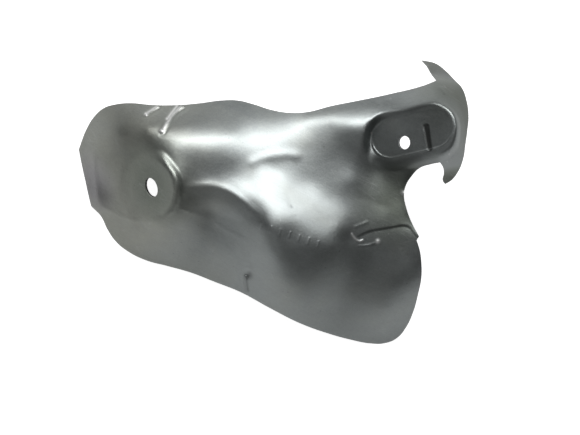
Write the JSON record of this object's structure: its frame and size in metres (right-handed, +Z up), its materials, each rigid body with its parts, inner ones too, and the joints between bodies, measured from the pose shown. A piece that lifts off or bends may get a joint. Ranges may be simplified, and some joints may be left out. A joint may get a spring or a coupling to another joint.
{
  "type": "exhaust manifold heat shield",
  "caption": "Pressed double-skin steel heat shield with a domed body, a bolt pad at each end and a clawed arm that hoods an exhaust manifold.",
  "frame": {"origin": "bottom centre of the shield's box, on the floor that its rim lies on", "axes": "+X along the longest extent towards the clawed arm, +Y towards the upper claw, +Z up out of the domed side"},
  "size_m": [0.253, 0.1904, 0.0888],
  "materials": {
    "outer_steel": "satin aluminised sheet, dark grey with press and scratch marks",
    "inner_steel": "matt aluminised sheet"
  },
  "bodies": {
    "root": {"outer_skin": "outer_steel", "inner_skin": "inner_steel"}
  },
  "joints": []
}
